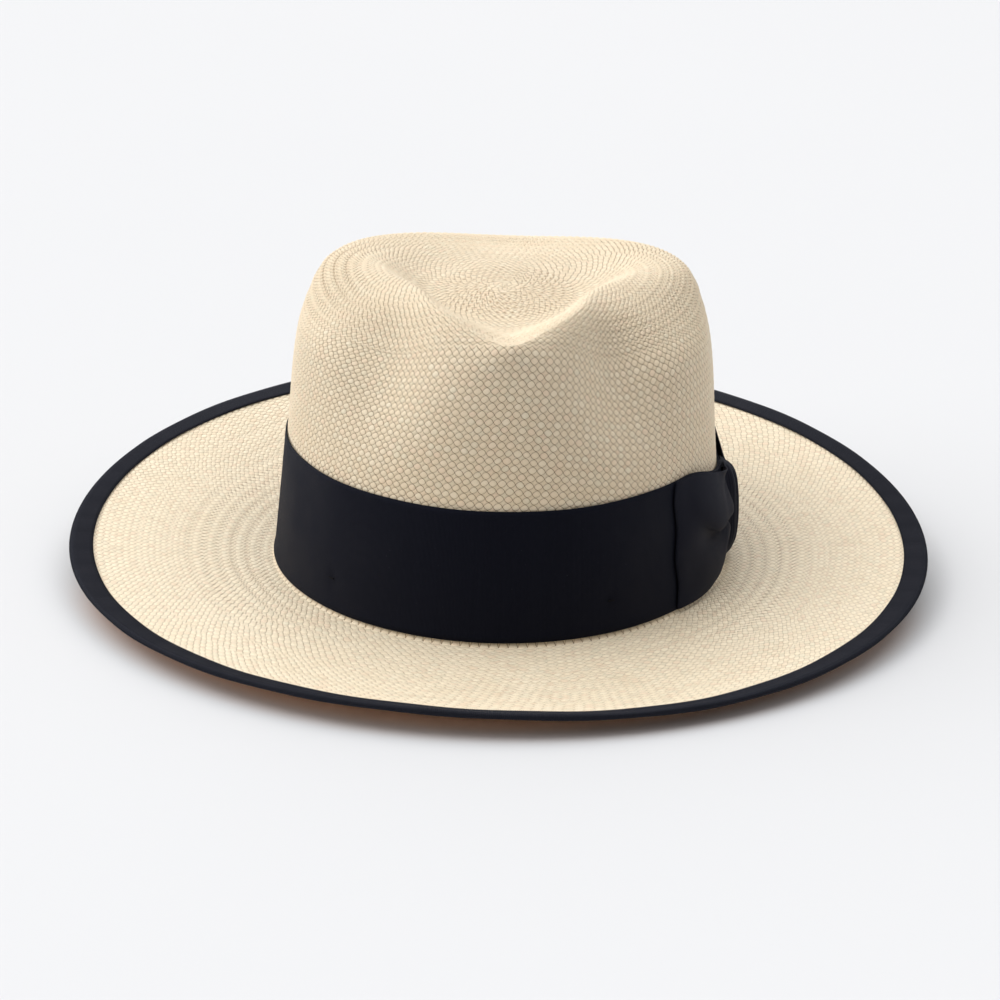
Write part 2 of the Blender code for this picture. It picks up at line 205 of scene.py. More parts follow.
def crown_point(t, s):
    """Point on the crown: s = 0 at the foot, 5 at the button.

    Each whole s is a key on the meridian: foot, end of the straight wall, shoulder, crest, the sunken
    top's floor and button. A smooth stretch joins each key to the next.
    """
    a = from_front(t)
    a = a - PINCH_SHIFT * bell(a, 0, 45)
    side, back = np.abs(a), 180 - np.abs(a)
    right = a > 0
    press = np.where(right, PINCH_RIGHT, PINCH_LEFT) * bell(side, PINCH_AT, 17)
    shoulder_z = (SHOULDER + SHOULDER_FRONT * bell(a, 0, 13) - SHOULDER_PINCH * bell(side, PINCH_AT, 18)
                  - SHOULDER_BACK * bell(back, 0, 40)) * MM
    shoulder = wall_share(shoulder_z) - 0.004 - press - 0.008 * bell(a, 0, 15)
    crest_z = CREST_Z - FRONT_DIP * bell(a, 0, 14) - BACK_DIP * bell(back, 0, 42)
    crest = soft_curve(side, *RIDGE) * np.where(right, 1 + 0.035 * bell(side, 35, 25), 1.0)
    floor = np.full_like(t, FLOOR_SHARE)
    floor_z = FLOOR_Z + FLOOR_SLOPE * floor * HEAD_Y * np.sin(t)
    foot_z = break_z(t) + FOOT
    wall_z = np.full_like(t, STRAIGHT_Z)
    button, button_z = np.zeros_like(t), np.full_like(t, BUTTON_Z)
    r = HEAD_X * np.stack([wall_share(foot_z), wall_share(wall_z), shoulder, crest, floor, button])
    z = np.stack([foot_z, wall_z, shoulder_z, crest_z, floor_z, button_z])
    tilt = FLOOR_SLOPE * np.sin(t) * HEAD_Y / HEAD_X
    rise = (z[5] - z[4]) / r[4]
    one = np.ones_like(t)
    keen = RIDGE_KEEN * bell(side, 10, 55)          # the ridge is a fold in front, a roll behind
    into = keen * (z[3] - z[2]) / np.maximum(r[2] - r[3], 0.5 * MM)
    inward = 2.2 * WALL_LEAN + 0.35 * bell(side, PINCH_AT, 16)
    away = -keen * 0.9 * (z[3] - z[4]) / (r[3] - r[4])
    # directions out of and into each key, as (radius, height)
    leave = [(-WALL_LEAN * one, one), (-WALL_LEAN * one, one), (-inward, one),
             (-one, away), (-one, 0.6 * rise)]
    reach_in = [(-WALL_LEAN * one, one), (-inward, one), (-one, into),
                (-one, 0.6 * rise), (-one, -tilt)]
    bulge = (0.70 + 0.40 * bell(side, 0, 30) + 1.20 * ease(side, 66, 110)
             - 0.10 * ease(side, 115, 150))
    reach = np.stack([one, one, bulge, 1.1 * one, one])     # how far each stretch swings out
    leave = np.stack([np.stack(pair) / np.hypot(*pair) for pair in leave])
    reach_in = np.stack([np.stack(pair) / np.hypot(*pair) for pair in reach_in])
    k = np.clip(np.floor(s).astype(int), 0, 4)[None]
    f = s - k[0]

    def pick(rows, shift=0):
        return np.take_along_axis(rows, k + shift, 0)[0]

    span = np.hypot(pick(r, 1) - pick(r), pick(z, 1) - pick(z)) * pick(reach)
    radius = hermite(pick(r), pick(leave[:, 0]) * span, pick(r, 1), pick(reach_in[:, 0]) * span, f)
    high = hermite(pick(z), pick(leave[:, 1]) * span, pick(z, 1), pick(reach_in[:, 1]) * span, f)
    share = radius / HEAD_X
    return np.stack([HEAD_X * share * np.cos(t), HEAD_Y * share * np.sin(t), high], -1)


def brim_point(t, r):
    """Point on top of the brim: r = 0 at the crown, 1 at the straw's edge."""
    c, s = np.cos(t), np.sin(t)
    x0, y0, x1, y1 = (HEAD_X + FOOT) * c, (HEAD_Y + FOOT) * s, EDGE_X * c, EDGE_Y * s
    z0, z1 = break_z(t), edge_z(t)
    span = np.hypot(x1 - x0, y1 - y0)
    end = EDGE_CURL - EDGE_CURL_ENDS * np.cos(2 * t)
    start = (3 * (z1 - z0) / span - end) / 2
    z = hermite(z0, start * span, z1, end * span, r)
    return np.stack([x0 + (x1 - x0) * r, y0 + (y1 - y0) * r, z], -1)


def straw_point(t, m):
    """Whole outer face: m = 0 at the brim's edge, 1 at the crown, 6 at the button."""
    on_brim = m <= 1
    return np.where(on_brim[..., None], brim_point(t, np.clip(1 - m, 0, 1)),
                    crown_point(t, np.clip(m - 1, 0, 5)))


def straw_normal(t, m):
    """Unit vector out of the outer face, without looking across the fold at the crown's foot."""
    e = 1e-3
    low = np.where(m <= 1, m - e, np.maximum(m - e, 1))
    high = np.where(m <= 1, np.minimum(m + e, 1), m + e)
    round_it = straw_point(t + e, m) - straw_point(t - e, m)
    inward = straw_point(t, np.minimum(high, 5.999)) - straw_point(t, low)
    n = np.cross(round_it, inward)
    return n / np.linalg.norm(n, axis=-1, keepdims=True)


def wall_point(t, z, grow):
    """Point on the crown's wall at height z, moved out by grow."""
    x, y = HEAD_X * wall_share(z) * np.cos(t), HEAD_Y * wall_share(z) * np.sin(t)
    nx, ny = HEAD_Y * np.cos(t), HEAD_X * np.sin(t)
    n = np.hypot(nx, ny)
    return np.stack([x + nx / n * grow, y + ny / n * grow, z + 0 * t], -1)


# ---------------------------------------------------------------- materials

class Shader:
    """A material written as sums: each call adds one node and gives its socket."""

    def __init__(self, name):
        self.mat = bpy.data.materials.new(name)
        self.mat.use_nodes = True
        self.tree = self.mat.node_tree
        self.bsdf = self.tree.nodes["Principled BSDF"]

    def put(self, socket, value):
        if isinstance(value, bpy.types.NodeSocket):
            self.tree.links.new(value, socket)
        elif isinstance(value, (tuple, list)) and len(value) == 3 and socket.type == "RGBA":
            socket.default_value = (*value, 1)
        else:
            socket.default_value = value

    def add(self, kind, inputs=None, out=0, **settings):
        node = self.tree.nodes.new("ShaderNode" + kind)
        for key, value in settings.items():
            setattr(node, key, value)
        for key, value in (inputs or {}).items():
            self.put(node.inputs[key], value)
        return node.outputs[out]

    def sum(self, op, *values):
        return self.add("Math", dict(enumerate(values)), operation=op)

    def step(self, value, low, high, start=0.0, end=1.0):
        """Smooth step of value from low to high, giving start to end."""
        return self.add("MapRange", {0: value, 1: low, 2: high, 3: start, 4: end},
                        interpolation_type="SMOOTHSTEP")

    def mix(self, share, first, second, blend="MIX"):
        return self.add("Mix", {0: share, 6: first, 7: second}, out=2,
                        data_type="RGBA", blend_type=blend)

    def noise(self, vector, scale, detail=2.0):
        return self.add("TexNoise", {"Vector": vector, "Scale": scale, "Detail": detail})

    def vector(self, x, y, z):
        return self.add("CombineXYZ", {0: x, 1: y, 2: z})

    def split(self, vector):
        """x, y and z of a vector."""
        first = self.add("SeparateXYZ", {0: vector})
        return first, first.node.outputs[1], first.node.outputs[2]

    def attribute(self, name):
        return self.add("Attribute", out=2, attribute_name=name)

    def place(self):
        """The point's place on the object, in metres."""
        return self.add("TexCoord", out=3)

    def layer(self, colour, tints):
        """Lays tints over a colour, each by its own share."""
        for share, tint in tints:
            colour = self.mix(share, colour, tint)
        return colour

    def finish(self, colour, rough, height=None, depth=0.1 * MM, strength=1.0, **more):
        self.put(self.bsdf.inputs["Base Color"], colour)
        self.put(self.bsdf.inputs["Roughness"], rough)
        if height is not None:
            bump = self.add("Bump", {"Height": height, "Distance": depth, "Strength": strength})
            self.put(self.bsdf.inputs["Normal"], bump)
        for key, value in more.items():
            self.put(self.bsdf.inputs[key.replace("_", " ")], value)
        return self.mat


def straw_material(name, tone, line_shade, dash_depth, relief):
    """Diagonal weave: round pebbles with small diamonds between, each cell its own tint, with painted
    shade in the grooves and holes and on the diamonds.
    """
    s = Shader(name)
    u, v, _ = s.split(s.add("UVMap", uv_map="Weave"))
    cells = s.attribute("cells")
    ring = s.attribute("ring")
    p, q = s.sum("ADD", u, v), s.sum("SUBTRACT", u, v)
    i, j = s.sum("ROUND", p), s.sum("ROUND", q)
    dp, dq = s.sum("SUBTRACT", p, i), s.sum("SUBTRACT", q, j)
    both = s.sum("ADD", i, j)
    odd = s.sum("ABSOLUTE", s.sum("MODULO", both, 2.0))
    round_u = s.sum("FLOORED_MODULO", s.sum("MULTIPLY", both, 0.5), cells)
    cell_v = s.sum("SUBTRACT", i, j)
    cell = s.vector(round_u, cell_v, cells)
    pick, pick_y, pick_z = s.split(s.add("TexWhiteNoise", {"Vector": cell}, out=1))

    ap, aq = s.sum("ABSOLUTE", dp), s.sum("ABSOLUTE", dq)
    corner = s.sum("SUBTRACT", 1.0, s.sum("ADD", ap, aq))
    groove_p = s.step(ap, 0.5, 0.43)                    # the lines one way are a little deeper
    groove_q = s.step(aq, 0.5, 0.435, 0.2, 1.0)
    groove = s.sum("MULTIPLY", groove_p, groove_q)
    hole = s.step(corner, 0.03, 0.15)
    dome = s.sum("SUBTRACT", 1.0, s.sum("MULTIPLY", 2.0, s.sum(
        "ADD", s.sum("MULTIPLY", dp, dp), s.sum("MULTIPLY", dq, dq))))

    # fibres run along whichever strand is on top
    along = s.add("Mix", {0: odd, 2: p, 3: q}, data_type="FLOAT")
    across = s.add("Mix", {0: odd, 2: q, 3: p}, data_type="FLOAT")
    fibre = s.noise(s.vector(s.sum("MULTIPLY", across, 0.9), s.sum("MULTIPLY", along, 7.0), pick),
                    1.0, 3.0)
    where = s.place()
    patch = s.noise(where, 28.0)
    drift = s.noise(where, 140.0)

    cream = s.mix(patch, (0.845, 0.735, 0.555), (0.885, 0.785, 0.61))
    cream = s.mix(1.0, cream, tone, "MULTIPLY")
    colour = s.layer(cream, (
        (s.step(pick, 0.72, 0.98, 0.0, 0.5), (0.84, 0.66, 0.50)),          # rosy cells
        (s.step(pick_y, 0.78, 0.98, 0.0, 0.4), (0.75, 0.71, 0.56)),        # greyish ones
        (s.step(pick_z, 0.6, 1.0, 0.0, 0.30), (0.93, 0.86, 0.70)),         # pale ones
        (s.step(fibre, 0.35, 0.75, 0.0, 0.22), (0.70, 0.56, 0.38)),        # fibres
        (s.step(drift, 0.45, 0.8, 0.0, 0.22), (0.76, 0.62, 0.43)),         # warm patches
        # painted shade: the diamonds, which lie lower, are darkened
        (s.sum("MULTIPLY", odd, 0.10), (0.50, 0.38, 0.22))))               # the diamonds lie lower

    # painted shade: the grooves between the pebbles and the holes where strands cross are darkened, as
    # the shade that falls in them
    groove_shade_share = s.sum("SUBTRACT", 1.0, groove)
    speck = s.step(s.add("TexWhiteNoise", {"Vector": s.vector(round_u, 7.0, cell_v)}), 0.55, 0.9)
    hole_shade_strength = s.sum("ADD", 0.25, s.sum("MULTIPLY", speck, 0.6))
    hole_shade = s.sum("MULTIPLY", s.sum("SUBTRACT", 1.0, hole), hole_shade_strength)
    dash_at = s.sum("FLOORED_MODULO", s.sum("ADD", u, s.sum("MULTIPLY", v, 0.9)), 1.0)
    dash = s.sum("ABSOLUTE", s.sum("SUBTRACT", dash_at, 0.5))
    dashed = s.sum("MULTIPLY", s.step(dash, 0.07, 0.24, 1.0, 0.0), s.step(ring, 0.2, 0.7))
    colour = s.layer(colour, (
        (s.sum("MULTIPLY", groove_shade_share, line_shade), (0.25, 0.14, 0.052)),
        (s.sum("MULTIPLY", hole_shade, line_shade * 1.5), (0.07, 0.045, 0.025)),
        (s.sum("MULTIPLY", dashed, dash_depth), (0.33, 0.21, 0.10))))

    rounded = s.sum("ADD", 0.45, s.sum("MULTIPLY", dome, 0.55))
    high = s.sum("MULTIPLY", s.sum("MULTIPLY", groove, hole), rounded)
    high = s.sum("ADD", high, s.sum("MULTIPLY", fibre, 0.10))
    high = s.sum("SUBTRACT", high, s.sum("MULTIPLY", dashed, 0.35))
    rough = s.step(fibre, 0.2, 0.9, 0.42, 0.62)
    return s.finish(colour, rough, high, relief, 0.85, Specular_IOR_Level=0.35)


def ribbon_material(name, colour, bright):
    """Grosgrain: ribs across the ribbon, each a little different, with a soft sheen."""
    s = Shader(name)
    u, v, _ = s.split(s.add("UVMap", uv_map="Rib"))
    rib = s.sum("ABSOLUTE", s.sum("SUBTRACT", s.sum("FRACT", u), 0.5))
    chance = s.add("TexWhiteNoise", {"W": s.sum("FLOOR", u)}, noise_dimensions="1D")
    thread = s.sum("ABSOLUTE", s.sum("SUBTRACT", s.sum("FRACT", v), 0.5))
    patch = s.noise(s.place(), 45.0, 3.0)
    lint = s.noise(s.vector(s.sum("MULTIPLY", u, 0.4), s.sum("MULTIPLY", v, 0.5), 3.0), 1.0, 4.0)
    share = s.sum("ADD", s.step(rib, 0.1, 0.45, 0.18, 0.0), s.sum("MULTIPLY", chance, 0.20))
    base = s.layer(colour, (
        (share, bright),
        (s.step(patch, 0.35, 0.75, 0.0, 0.35), bright),
        (s.step(lint, 0.68, 0.8, 0.0, 0.35), (0.06, 0.062, 0.07))))
    high = s.sum("ADD", s.step(rib, 0.05, 0.5, 1.0, 0.0), s.sum("MULTIPLY", thread, 0.25))
    rough = s.step(patch, 0.3, 0.8, 0.66, 0.80)
    return s.finish(base, rough, high, 0.06 * MM, 0.9, Specular_IOR_Level=0.13,
                    Specular_Tint=(0.55, 0.62, 1.0), Sheen_Weight=0.03, Sheen_Roughness=0.5,
                    Sheen_Tint=(0.55, 0.65, 1.0))


def leather_material():
    s = Shader("sweatband_leather")
    where = s.place()
    grain = s.add("TexVoronoi", {"Vector": where, "Scale": 900.0}, feature="DISTANCE_TO_EDGE")
    wear = s.noise(where, 22.0, 4.0)
    fine = s.noise(where, 420.0, 3.0)
    colour = s.mix(s.step(wear, 0.3, 0.75), (0.30, 0.19, 0.105), (0.40, 0.27, 0.16))
    colour = s.mix(s.step(grain, 0.0, 0.12, 0.4, 0.0), colour, (0.16, 0.09, 0.045))
    high = s.sum("ADD", s.step(grain, 0.0, 0.2), s.sum("MULTIPLY", fine, 0.4))
    return s.finish(colour, s.step(wear, 0.3, 0.8, 0.38, 0.55), high, 0.08 * MM)


def tape_material():
    s = Shader("reed_tape_cotton")
    where = s.place()
    x, y, z = s.split(where)
    turn = s.sum("ARCTAN2", y, x)
    ribs = s.sum("SINE", s.sum("MULTIPLY", turn, 620.0))
    picks = s.sum("SINE", s.sum("MULTIPLY", z, 9000.0))
    weave = s.sum("ADD", ribs, picks)
    tone = s.noise(where, 160.0, 3.0)
    colour = s.mix(s.step(weave, -1.2, 1.4), (0.50, 0.43, 0.33), (0.68, 0.61, 0.50))
    colour = s.mix(s.step(tone, 0.4, 0.8, 0.0, 0.4), colour, (0.56, 0.48, 0.36))
    return s.finish(colour, 0.8, weave, 0.08 * MM)


def reed_material():
    s = Shader("reed_plastic")
    tone = s.noise(s.place(), 90.0, 3.0)
    colour = s.mix(tone, (0.72, 0.71, 0.66), (0.82, 0.81, 0.78))
    return s.finish(colour, s.step(tone, 0.2, 0.8, 0.35, 0.5), tone, 0.03 * MM)


def thread_material():
    s = Shader("black_thread")
    twist = s.add("TexWave", {"Vector": s.place(), "Scale": 900.0, "Distortion": 2.0})
    colour = s.mix(twist, (0.002, 0.002, 0.003), (0.007, 0.007, 0.009))
    return s.finish(colour, 0.85, twist, 0.05 * MM, Specular_IOR_Level=0.1)


# ---------------------------------------------------------------- meshes

def new_object(name, verts, faces, mat):
    mesh = bpy.data.meshes.new(name)
    mesh.vertices.add(len(verts))
    mesh.vertices.foreach_set("co", np.asarray(verts, np.float32).ravel())
    faces = np.asarray(faces, np.int32)
    mesh.loops.add(faces.size)
    mesh.loops.foreach_set("vertex_index", faces.ravel())
    mesh.polygons.add(len(faces))
    mesh.polygons.foreach_set("loop_start", np.arange(0, faces.size, faces.shape[1], dtype=np.int32))
    mesh.update(calc_edges=True)
    mesh.validate()
    mesh.shade_smooth()
    mesh.materials.append(mat)
    obj = bpy.data.objects.new(name, mesh)
    bpy.context.scene.collection.objects.link(obj)
    return obj


def dress(obj, slot, *nodes):
    """Hangs a piece on the hat in place of its plain solids."""
    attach(obj, "root")
    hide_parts(*nodes)
    return obj


def corner_map(obj, name, uv):
    layer = obj.data.uv_layers.new(name=name)
    layer.data.foreach_set("uv", np.asarray(uv, np.float32).ravel())


def number_layer(obj, name, domain, values):
    layer = obj.data.attributes.new(name, "FLOAT", domain)
    layer.data.foreach_set("value", np.asarray(values, np.float32))


def cell_corners(k, l, next_l):
    """Grid places of the four corners of each cell, as (k, l) pairs."""
    return np.stack([np.stack([k, l], -1), np.stack([k + 1, l], -1),
                     np.stack([k + 1, next_l], -1), np.stack([k, next_l], -1)], -2)


def crown_courses():
    """For each angle round the crown, m at even steps of distance from its foot to the button."""
    t = np.linspace(0, 2 * np.pi, 361)
    m = np.linspace(1, 5.999, 1401)
    grid_t, grid_m = np.meshgrid(t, m, indexing="ij")
    steps = np.linalg.norm(np.diff(straw_point(grid_t, grid_m), axis=1), axis=-1)
    away = np.concatenate([np.zeros((len(t), 1)), np.cumsum(steps, 1)], 1)
    share = np.linspace(0, 1, 701)
    table = np.stack([np.interp(share * row[-1], row, m) for row in away])
    return table, away[:, -1].mean()


CROWN_TABLE, CROWN_LONG = crown_courses()
BRIM_LONG = (EDGE_X + EDGE_Y - HEAD_X - HEAD_Y) / 2


def straw_course(t, c):
    """m for a course of weave: c = 0 at the brim's edge, 1 at the crown's foot, 2 at the button."""
    at_t = (t % (2 * np.pi)) / (2 * np.pi) * (CROWN_TABLE.shape[0] - 1)
    at_c = np.clip(c - 1, 0, 1) * (CROWN_TABLE.shape[1] - 1)
    i = np.minimum(at_t.astype(int), CROWN_TABLE.shape[0] - 2)
    j = np.minimum(at_c.astype(int), CROWN_TABLE.shape[1] - 2)
    f, g = at_t - i, at_c - j
    crown = ((CROWN_TABLE[i, j] * (1 - f) + CROWN_TABLE[i + 1, j] * f) * (1 - g)
             + (CROWN_TABLE[i, j + 1] * (1 - f) + CROWN_TABLE[i + 1, j + 1] * f) * g)
    return np.where(c <= 1, np.clip(c, 0, 1), crown)


def zone(c0, c1, cells, ring):
    """One belt of weave with a fixed number of cells round it; ring marks its lower edge."""
    rows = max(1, round((c1 - c0) * (BRIM_LONG if c1 <= 1 else CROWN_LONG) / ROW))
    return {"c0": c0, "c1": c1, "rows": rows, "cells": cells, "ring": ring}


def brim_zones():
    """Strands are added in rings near the crown, so that the weave stays even as it widens."""
    zones, start, ring = [], 0.0, 0
    for away, cells, next_ring in BRIM_RINGS:
        end = 1 - away * MM / BRIM_LONG
        zones.append(zone(start, end, cells, ring))
        start, ring = end, next_ring
    return zones


def crown_zones():
    """One even belt up the wall, close rings over the humps, and the rosette round the button."""
    zones, start, ring = [], 1.0, 0
    for end, next_ring in [*CROWN_RINGS, (2.0, 0)]:
        to_button = 2 - (start + end) / 2
        cells = CROWN_CELLS if start == 1 else max(8, round(CROWN_CELLS * TOP_CELLS * to_button))
        zones.append(zone(start, end, cells, ring))
        start, ring = end, next_ring
    return zones


def strand_shift(at, cells, shifts):
    """How far a strand's edge lies off its even place, periodic round the hat."""
    low = np.floor(at - 0.5).astype(int)
    f = at - 0.5 - low
    return shifts[low % cells] * (1 - f) + shifts[(low + 1) % cells] * f


def ring_shows(t, m):
    """Growth rings show at the sides of the brim, over the humps and all round the rosette."""
    a = from_front(t)
    brim = 0.12 + 0.88 * np.abs(np.cos(t)) ** 1.6
    humps = bell(a, -98, 36) + 0.4 * bell(a, 100, 32)
    rosette = 1 / (1 + np.exp((4.9 - m) / 0.04))
    return np.where(m <= 1, brim, np.maximum(humps * (1 - rosette), 0.85 * rosette))


def pebble_height(p, q):
    """1 on top of a pebble, less on the diamonds between, 0.3 and less in the grooves."""
    i, j = np.round(p + 1e-6), np.round(q + 1e-6)
    dp, dq = p - i, q - j
    groove = np.clip(np.minimum((0.5 - np.abs(dp)) / 0.21, 0.1 + (0.5 - np.abs(dq)) / 0.2), 0, 1)
    dome = 1 - 2 * (dp * dp + dq * dq)
    odd = (i + j) % 2
    return (0.30 + 0.70 * groove * dome) * np.where(odd > 0.5, 0.78, 1.0)


def belt_points(z, fine, v_start, next_ring):
    """One belt's grid: angle, meridian place, height off the face in shares of relief, ring mark."""
    cells, rows = z["cells"], z["rows"]
    shifts_p = rng.uniform(-1, 1, cells)
    shifts_q = rng.uniform(-1, 1, cells)
    v, u = np.meshgrid(np.arange(rows * fine + 1) / fine, np.arange(cells * fine) / fine, indexing="ij")
    inside = np.clip(np.minimum(v, rows - v), 0, 1)         # 0 on the belt's edges
    p, q = u + v, u - v
    pull_p = STRAND_PULL * strand_shift(p, cells, shifts_p)
    pull_q = STRAND_PULL * strand_shift(q, cells, shifts_q)
    real_u = u + PEBBLE_GROW * np.sin(2 * np.pi * u) + inside * (pull_p + pull_q) / 2
    real_v = v + inside * (PEBBLE_GROW * np.sin(2 * np.pi * v) + (pull_p - pull_q) / 2)
    turn = (real_u + ROW_LEAN * (v + v_start)) / cells
    wave = ROW_WAVE * inside * (np.sin(2 * np.pi * (3 * turn + 0.1))
                                + np.sin(2 * np.pi * (7 * turn + 0.4)))
    if rows > 2 * ROW_TILT * np.pi:
        wave = wave + ROW_TILT * np.sin(np.pi * v / rows) * np.sin(2 * np.pi * turn)
    t = oval_angle(turn)
    up = np.clip((real_v + wave * (rows > 4)) / rows, 0, 1)
    course = z["c0"] + (z["c1"] - z["c0"]) * up
    m = straw_course(t, course)
    high = pebble_height(p, q) - MIDDLE_HIGH
    high = np.where((v == 0) | (v == rows), np.minimum(high, -0.25), high)
    stretch = (1 + ROLL_OPEN * bell(course, ROLL_AT, ROLL_WIDE)
               - TOP_CALM * ease(course, TOP_FROM, TOP_TO))
    ring = np.maximum(np.clip(1 - v / RING_REACH, 0, 1) * z["ring"],
                      np.clip(1 - (rows - v) / RING_REACH, 0, 1) * next_ring)
    return t, m, high * stretch, ring * ring_shows(t, m)


def belt_faces(cells, rows, fine, v_start):
    """One belt's quads and the places of their corners in the weave."""
    across = cells * fine
    l, k = np.meshgrid(np.arange(rows * fine), np.arange(across), indexing="ij")
    next_k = (k + 1) % across
    c00, c10 = l * across + k, l * across + next_k
    c01, c11 = c00 + across, c10 + across
    quads = np.stack([c00, c10, c11, c01], -1).reshape(-1, 4)
    corners = (cell_corners(k, l, l + 1) / fine).reshape(-1, 4, 2)
    turned = ((k + l + 1) % 2 == 0).ravel()         # start every second quad at its other diagonal
    quads[turned] = np.roll(quads[turned], -1, axis=1)
    corners[turned] = np.roll(corners[turned], -1, axis=1)
    corners[..., 1] += v_start
    return quads, corners


def woven(name, zones, fine, relief, lift, flip, mat):
    """Belts of woven straw, raised pebble by pebble by relief, lying lift off the outer face."""
    verts, faces, uvs, ring_values, cell_values = [], [], [], [], []
    base, v_start = 0, 0
    side = -1 if flip else 1
    next_rings = [z["ring"] for z in zones[1:]] + [0]
    for z, next_ring in zip(zones, next_rings):
        t, m, high, ring = belt_points(z, fine, v_start, next_ring)
        points = straw_point(t, m) + straw_normal(t, m) * (lift + side * high * relief)[..., None]
        quads, corners = belt_faces(z["cells"], z["rows"], fine, v_start)
        if flip:
            quads, corners = quads[:, ::-1], corners[:, ::-1]
        verts.append(points.reshape(-1, 3))
        faces.append(quads + base)
        uvs.append(corners.reshape(-1, 2))
        ring_values.append(ring.ravel())
        cell_values.append(np.full(len(quads), z["cells"]))
        base += ring.size
        v_start += z["rows"]
    obj = new_object(name, np.concatenate(verts), np.concatenate(faces), mat)
    corner_map(obj, "Weave", np.concatenate(uvs))
    number_layer(obj, "ring", "POINT", np.concatenate(ring_values))
    number_layer(obj, "cells", "FACE", np.concatenate(cell_values))
    return dress(obj, "straw", "straw_body")


def bake_map(obj):
    """Second flat layout: the straw as seen from above."""
    mesh = obj.data
    co = np.empty(len(mesh.vertices) * 3, np.float32)
    mesh.vertices.foreach_get("co", co)
    index = np.empty(len(mesh.loops), np.int32)
    mesh.loops.foreach_get("vertex_index", index)
    points = co.reshape(-1, 3)[index]
    corner_map(obj, "OFBake", points[:, :2] / (2.06 * EDGE_Y) + 0.5)


# ---------------------------------------------------------------- ribbon

def end_caps(steps, across, count):
    """Quads that close both ends of a strip whose cross-section has count points."""
    caps = []
    for row in (0, steps):
        for c in range(across):
            quad = [row * count + c, row * count + c + 1,
                    row * count + count - 2 - c, row * count + count - 1 - c]
            caps.append(quad if row else quad[::-1])
    return caps


def ribbon(name, path, steps, across, cloth, mat, length, width, rib, closed=False, rib_high=0.0):
    """Strip of grosgrain. path(a, b) gives its middle surface, a along and b across, 0 to 1."""
    a = np.linspace(0, 1, steps + 1)
    b = np.linspace(0, 1, across + 1)
    grid_a, grid_b = np.meshgrid(a, b, indexing="ij")
    e = 1e-4
    middle = path(grid_a, grid_b)
    along = path(grid_a + e, grid_b) - path(grid_a - e, grid_b)
    over = path(grid_a, np.minimum(grid_b + e, 1)) - path(grid_a, np.maximum(grid_b - e, 0))
    n = np.cross(along, over)
    n /= np.linalg.norm(n, axis=-1, keepdims=True)
    ribs = round(length / rib)
    wave = rib_high * np.cos(2 * np.pi * ribs * grid_a) / 2
    front = middle + n * (cloth / 2 + wave)[..., None]
    rear = middle - n * (cloth / 2 + wave)[..., None]
    loop = np.concatenate([front, rear[:, ::-1]], 1)
    count = loop.shape[1]
    rows = steps if closed else steps + 1
    verts = loop[:rows].reshape(-1, 3)
    k = np.arange(steps)[:, None] * np.ones((1, count), int)
    l = np.arange(count)[None] * np.ones((steps, 1), int)
    nk, nl = (k + 1) % rows, (l + 1) % count
    quads = np.stack([k * count + l, nk * count + l, nk * count + nl, k * count + nl], -1)
    quads = quads.reshape(-1, 4)
    b_of = np.concatenate([b, b[::-1]])
    spot = cell_corners(k, l, nl).reshape(-1, 4, 2)
    uv = np.stack([spot[..., 0] / steps * ribs + 0.5, b_of[spot[..., 1]] * width / THREAD], -1)
    if not closed:
        caps = end_caps(steps, across, count)
        quads = np.concatenate([quads, caps])
        uv = np.concatenate([uv, np.zeros((len(caps), 4, 2))])
    obj = new_object(name, verts, quads, mat)
    corner_map(obj, "Rib", uv.reshape(-1, 2))
    return obj


def bow_turn():
    """Radians round the head oval for each metre along the band near the knot."""
    return 1 / math.hypot(HEAD_X * 0.35, HEAD_Y * 0.95)


def drawn_in(along, high):
    """Height over the band's middle once the knot has gathered the cloth beside it."""
    far = np.where(along > 0, GATHER_FAR_BACK, GATHER_FAR)
    gather_top = 1 - ease(np.abs(along), GATHER_NEAR, far)
    gather_low = 1 - ease(np.abs(along), GATHER_NEAR, 0.75 * GATHER_FAR)
    share = np.clip(high / BAND_HIGH + 0.5, 0, 1)
    down = GATHER_TOP + (GATHER_BACK - GATHER_TOP) * ease(along, -KNOT_WIDE / 2, KNOT_WIDE / 2)
    return high - down * gather_top * share + GATHER_LOW * gather_low * (1 - share)


def band_path(a, b):
    """The band hugs the crown, its seam under the knot, pulled in a little at each tack."""
    t = oval_angle(a - 0.25)
    high = b * (BAND_HIGH + BAND_FLARE) - BAND_FLARE
    along = ((t + np.pi) % (2 * np.pi) - np.pi) / bow_turn()
    z = break_z(t) + BAND_FOOT + BAND_HIGH / 2 + drawn_in(along, high - BAND_HIGH / 2)
    grow = CLEAR + BAND_CLOTH / 2 + BAND_FLARE * bell(high, -BAND_FLARE, FLARE_HIGH)
    grow = grow + BAND_RIPPLE * (np.sin(5 * t + 1) + np.sin(11 * t + 2 * b)) * (0.3 + b)
    for degrees, up in DIMPLES:
        away = ((t - math.radians(degrees) + np.pi) % (2 * np.pi) - np.pi) * HEAD_Y
        grow = grow - DIMPLE_DEEP * bell(away, 0, DIMPLE_WIDE) * bell(high, up, DIMPLE_WIDE)
    return wall_point(t, z, grow)


def make_band(mat):
    obj = ribbon("ribbon_band", band_path, 900, 24, BAND_THIN, mat, BAND_LONG, BAND_HIGH, FINE_RIB,
                 closed=True)
    dress(obj, "ribbon", "hat_band")


